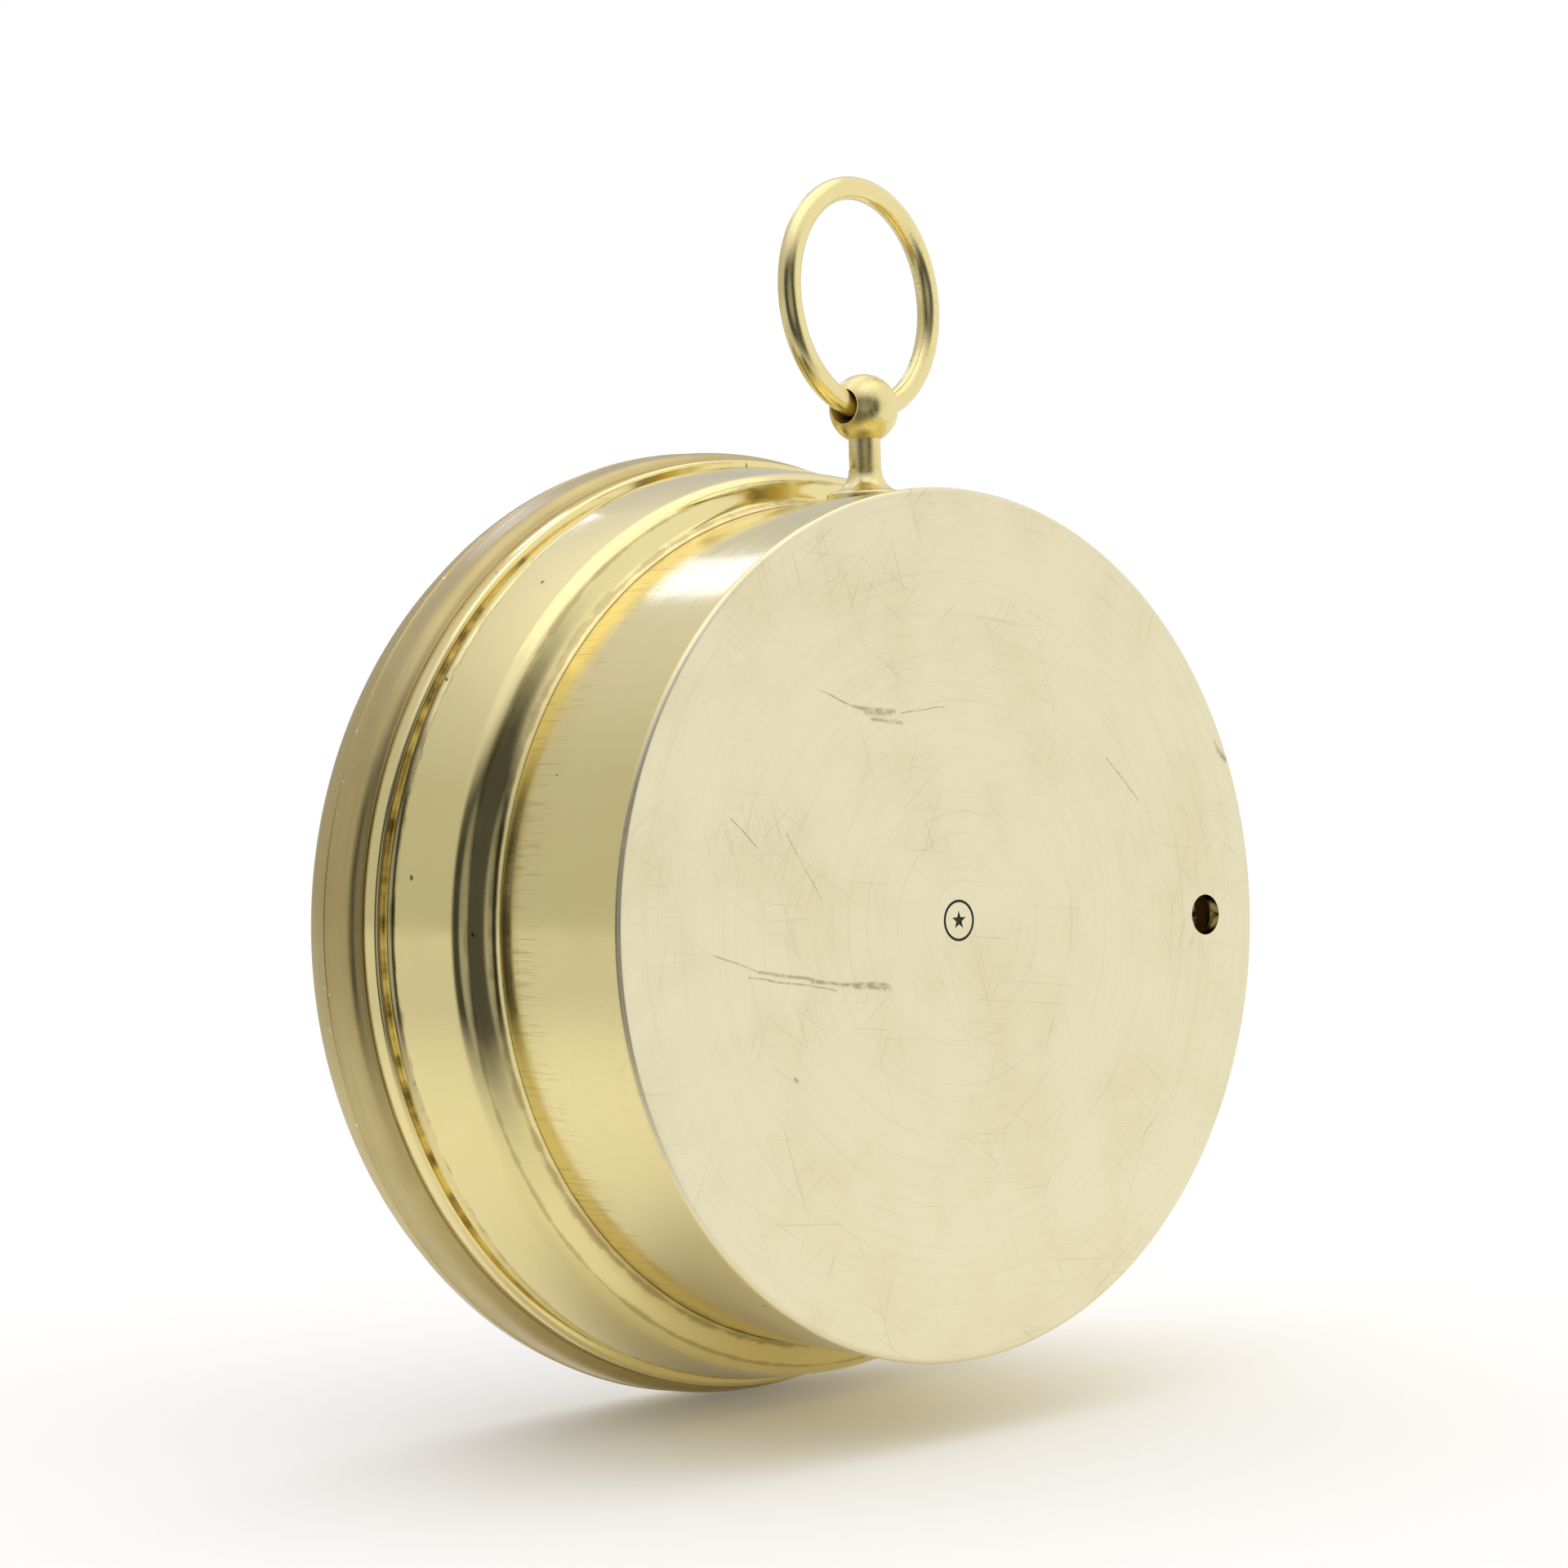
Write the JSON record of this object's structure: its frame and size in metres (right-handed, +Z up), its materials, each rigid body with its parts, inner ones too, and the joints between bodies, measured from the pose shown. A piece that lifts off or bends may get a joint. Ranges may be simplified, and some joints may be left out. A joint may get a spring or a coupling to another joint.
{
  "type": "marine aneroid barometer",
  "caption": "Round brass marine aneroid barometer, open dial and hands behind glass in a stepped turned case, hung from a swinging ring on a ball pendant.",
  "frame": {"origin": "centre of the back's outer face", "axes": "+Y out of the back, along the case's axis; the dial faces -Y; +Z up through the hanging ring"},
  "size_m": [0.13, 0.0602, 0.163],
  "materials": {
    "brass_case": "turned, lightly polished",
    "brass_polished": "polished",
    "brass_satin": "satin, brushed round the axis",
    "brass_movement": "grained and lacquered",
    "glass": "polished",
    "silvered_dial": "silvered brass, matt",
    "steel": "satin",
    "spring_steel": "satin",
    "blued_steel": "blued",
    "nickel": "nickel silver, satin"
  },
  "bodies": {
    "case": {"case_drum": "brass_case", "case_collar": "brass_polished", "bezel": "brass_satin", "glass": "glass", "glass_ring": "brass_movement", "sight_ring": "silvered_dial", "dial": "silvered_dial", "dial_pillars": "brass_movement", "dial_screws": "steel", "base_feet": "brass_movement", "base_plate": "brass_movement", "base_screws": "steel", "capsule": "nickel", "capsule_nut": "brass_movement", "carriage_brackets": "brass_movement", "bracket_screws": "steel", "pivot_screws": "steel", "rocker_bracket": "brass_movement", "rocker_screws": "steel", "bridge_pillars": "brass_movement", "lower_bridge": "brass_movement", "bridge_spacers": "brass_movement", "upper_bridge": "brass_movement", "bridge_screws": "steel", "hairspring": "blued_steel", "hairspring_stud": "brass_movement", "set_washers": "steel", "pendant": "brass_polished", "pendant_nut": "brass_polished", "ball": "brass_polished"},
    "bow": {"ring": "brass_polished"},
    "set_hand": {"set_hand": "brass_movement", "set_knob": "brass_polished"},
    "adjusting_screw": {"adjusting_screw": "steel"},
    "carriage": {"carriage": "brass_movement", "main_spring": "spring_steel", "spring_screws": "steel"},
    "lever": {"main_lever": "brass_movement", "lever_screw": "steel", "link": "steel"},
    "capsule_stud": {"capsule_stud": "brass_movement", "knife_edge": "steel"},
    "rocker": {"rocking_shaft": "steel", "chain_arm": "brass_movement", "chain": "steel"},
    "pointer": {"pointer_arbor": "steel", "pressure_hand": "blued_steel"}
  },
  "joints": [
    {"name": "bow_swing", "type": "hinge", "parent": "case", "child": "bow", "pos_m": [0, -0.0165, 0.0675], "axis": [0.9877, 0.1564, 0], "range_deg": [-115, 88]},
    {"name": "set_hand_turn", "type": "hinge", "parent": "case", "child": "set_hand", "pos_m": [0, -0.05, 0], "axis": [0, 1, 0], "continuous": true},
    {"name": "rocker_turn", "type": "hinge", "parent": "case", "child": "rocker", "pos_m": [0.036, -0.014, 0], "axis": [0, 0, 1], "range_deg": [-9.16, 9.16]},
    {"name": "pointer_turn", "type": "hinge", "parent": "case", "child": "pointer", "pos_m": [0, -0.029, 0], "axis": [0, 1, 0], "range_deg": [-112, 112], "stiffness_Nm_per_rad": 0.0005, "deforming": ["hairspring", "chain"]},
    {"name": "lever_tilt", "type": "hinge", "parent": "case", "child": "lever", "pos_m": [-0.0435, -0.01815, 0], "axis": [0, 0, 1], "range_deg": [-0.6, 0.6], "deforming": ["main_spring"]},
    {"name": "capsule_breathe", "type": "slide", "parent": "case", "child": "capsule_stud", "axis": [0, -1, 0], "range_m": [-0.00037, 0.00037], "stiffness_N_per_m": 200, "deforming": ["capsule"]},
    {"name": "adjusting_screw_turn", "type": "hinge", "parent": "case", "child": "adjusting_screw", "pos_m": [-0.0458, -0.005, -0.0008], "axis": [0, 1, 0], "range_deg": [-90.5, 90.5]},
    {"name": "carriage_tilt", "type": "hinge", "parent": "case", "child": "carriage", "pos_m": [-0.035, -0.01125, 0], "axis": [0, 0, 1], "range_deg": [-0.67, 0.67]}
  ],
  "couplings": [
    {"joint": "rocker_turn", "follows": "capsule_breathe", "rad_per_m": -429.12},
    {"joint": "pointer_turn", "follows": "capsule_breathe", "rad_per_m": -5149.4},
    {"joint": "lever_tilt", "follows": "capsule_breathe", "rad_per_m": -22.989},
    {"joint": "adjusting_screw_turn", "follows": "carriage_tilt", "ratio": 135.13}
  ]
}
